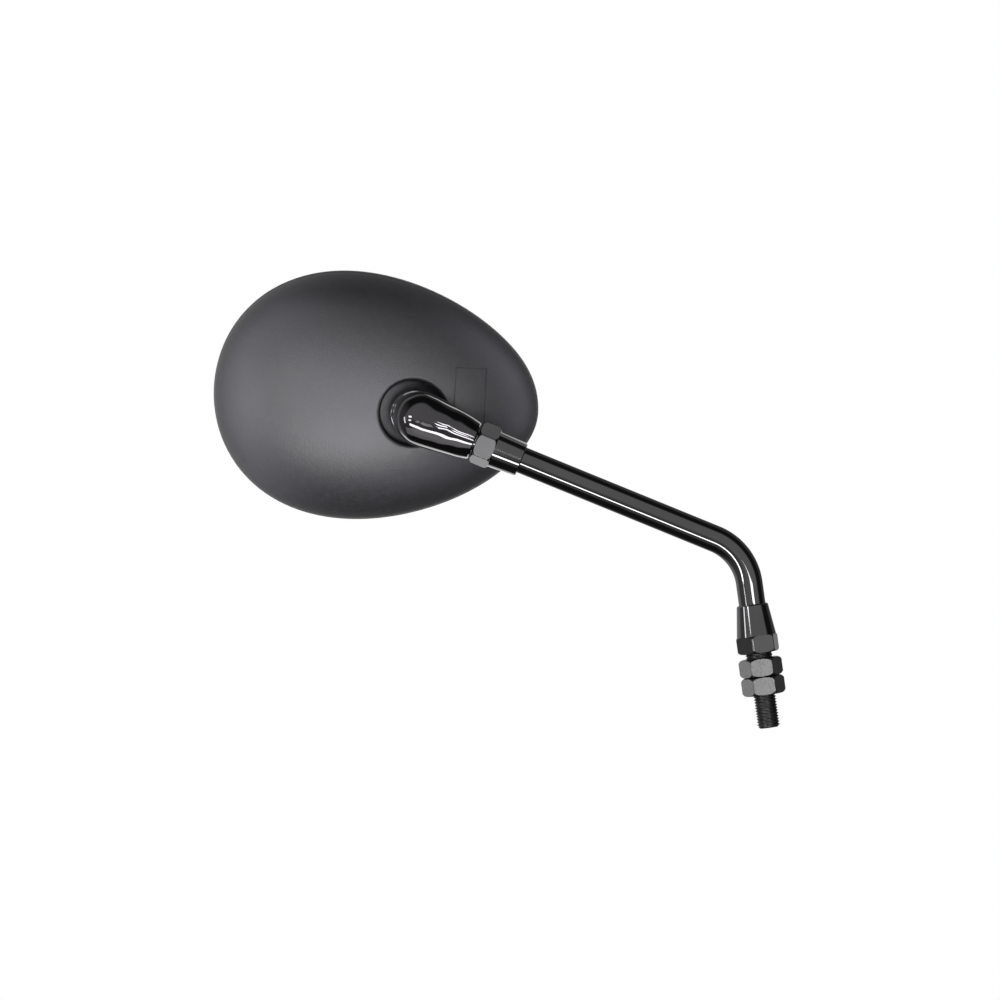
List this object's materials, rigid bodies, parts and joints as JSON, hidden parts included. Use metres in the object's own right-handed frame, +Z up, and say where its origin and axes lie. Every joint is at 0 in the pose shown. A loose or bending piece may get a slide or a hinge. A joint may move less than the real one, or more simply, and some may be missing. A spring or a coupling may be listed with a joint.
{
  "type": "motorcycle mirror",
  "caption": "Egg-shaped rear-view mirror head on a ball joint and knuckle, carried by a bent stem with lock nuts and a threaded stud for a lever perch.",
  "frame": {"origin": "on the stud's axis at the seat of the lower jam nut", "axes": "+Z up the stud, -X towards the mirror head, and the back of the shell faces -Y, with the glass facing +Y"},
  "size_m": [0.2389, 0.0756, 0.2314],
  "materials": {
    "shell_plastic": "fine-textured black moulding with a satin sheen",
    "mirror_glass": "silvered convex glass",
    "foam": "closed-cell foam sheet",
    "gasket_rubber": "soft black rubber",
    "nylon": "natural nylon",
    "bare_steel": "plain zinc-plated steel",
    "black_chrome": "polished black chrome",
    "dark_steel": "satin black-plated steel"
  },
  "bodies": {
    "stem": {"stem": "black_chrome"},
    "knuckle": {"knuckle": "black_chrome", "ball_stud": "bare_steel"},
    "rear_ball_seat": {"rear_ball_seat": "nylon"},
    "front_ball_seat": {"front_ball_seat": "nylon"},
    "head": {"mirror_housing": "shell_plastic", "mirror_glass": "mirror_glass", "glass_backing_pad": "foam", "glass_rim_gasket": "gasket_rubber", "pressure_cup": "nylon", "disc_spring": "bare_steel", "spring_retainer": "bare_steel", "retainer_screws": "bare_steel"},
    "upper_lock_nut": {"upper_lock_nut": "black_chrome"},
    "taper_lock_nut": {"taper_lock_nut": "black_chrome"},
    "upper_jam_nut": {"upper_jam_nut": "dark_steel"},
    "lower_jam_nut": {"lower_jam_nut": "dark_steel"}
  },
  "joints": [
    {"name": "knuckle_swivel", "type": "hinge", "parent": "stem", "child": "knuckle", "pos_m": [-0.13553, 0, 0.14295], "axis": [-0.866, 0, 0.5], "range_deg": [-180, 180]},
    {"name": "head_pan", "type": "hinge", "parent": "knuckle", "child": "rear_ball_seat", "pos_m": [-0.14002, 0.02309, 0.14769], "axis": [0.0377, -0.194, 0.9803], "range_deg": [-10, 10]},
    {"name": "head_tilt", "type": "hinge", "parent": "rear_ball_seat", "child": "front_ball_seat", "pos_m": [-0.14002, 0.02309, 0.14769], "axis": [0.9816, 0.1908, 0], "range_deg": [-10, 10]},
    {"name": "head_roll", "type": "hinge", "parent": "front_ball_seat", "child": "head", "pos_m": [-0.14002, 0.02309, 0.14769], "axis": [0.187, -0.9623, -0.1977], "continuous": true},
    {"name": "upper_lock_nut_turn", "type": "hinge", "parent": "stem", "child": "upper_lock_nut", "pos_m": [-0.10834, 0, 0.12725], "axis": [-0.866, 0, 0.5], "range_deg": [-180, 180]},
    {"name": "taper_lock_nut_turn", "type": "hinge", "parent": "stem", "child": "taper_lock_nut", "pos_m": [0, 0, 0.0227], "axis": [0, 0, 1], "range_deg": [-180, 180]},
    {"name": "upper_jam_nut_turn", "type": "hinge", "parent": "stem", "child": "upper_jam_nut", "pos_m": [0, 0, 0.0124], "axis": [0, 0, 1], "range_deg": [-180, 180]},
    {"name": "lower_jam_nut_turn", "type": "hinge", "parent": "stem", "child": "lower_jam_nut", "pos_m": [0, 0, 0.0041], "axis": [0, 0, 1], "range_deg": [-180, 180]}
  ]
}
